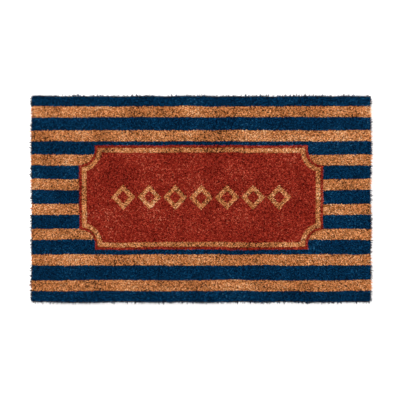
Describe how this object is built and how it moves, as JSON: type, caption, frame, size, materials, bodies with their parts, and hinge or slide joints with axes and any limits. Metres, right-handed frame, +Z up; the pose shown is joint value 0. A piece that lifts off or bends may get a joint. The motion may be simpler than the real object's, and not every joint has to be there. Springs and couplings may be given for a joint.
{
  "type": "door mat",
  "caption": "Flat rectangular coir door mat: striped bristle pile with a framed centre panel, on a vinyl backing sheet.",
  "frame": {"origin": "middle of the backing's underside, on the floor", "axes": "+X along the mat's length, +Y towards the back edge of its pattern, +Z up out of the pile"},
  "size_m": [0.711, 0.432, 0.015],
  "materials": {
    "navy_coir": "matte",
    "natural_coir": "matte",
    "red_coir": "matte",
    "vinyl_backing": "matte"
  },
  "bodies": {
    "root": {"backing_sheet": "vinyl_backing", "lozenge_core_1": "red_coir", "lozenge_core_2": "red_coir", "lozenge_core_3": "red_coir", "lozenge_core_4": "red_coir", "lozenge_core_5": "red_coir", "lozenge_core_6": "red_coir", "lozenge_core_7": "red_coir", "lozenge_ring_1": "natural_coir", "lozenge_ring_2": "natural_coir", "lozenge_ring_3": "natural_coir", "lozenge_ring_4": "natural_coir", "lozenge_ring_5": "natural_coir", "lozenge_ring_6": "natural_coir", "lozenge_ring_7": "natural_coir", "natural_stripe_1": "natural_coir", "natural_stripe_2": "natural_coir", "natural_stripe_3_left": "natural_coir", "natural_stripe_3_right": "natural_coir", "natural_stripe_4_left": "natural_coir", "natural_stripe_4_right": "natural_coir", "natural_stripe_5_left": "natural_coir", "natural_stripe_5_right": "natural_coir", "natural_stripe_6_left": "natural_coir", "natural_stripe_6_right": "natural_coir", "natural_stripe_7": "natural_coir", "natural_stripe_8": "natural_coir", "navy_stripe_1": "navy_coir", "navy_stripe_2": "navy_coir", "navy_stripe_3": "navy_coir", "navy_stripe_4_left": "navy_coir", "navy_stripe_4_right": "navy_coir", "navy_stripe_5_left": "navy_coir", "navy_stripe_5_right": "navy_coir", "navy_stripe_6_left": "navy_coir", "navy_stripe_6_right": "navy_coir", "navy_stripe_7": "navy_coir", "navy_stripe_8": "navy_coir", "navy_stripe_9": "navy_coir", "panel_border": "red_coir", "panel_field": "red_coir", "panel_line": "natural_coir"}
  },
  "joints": []
}
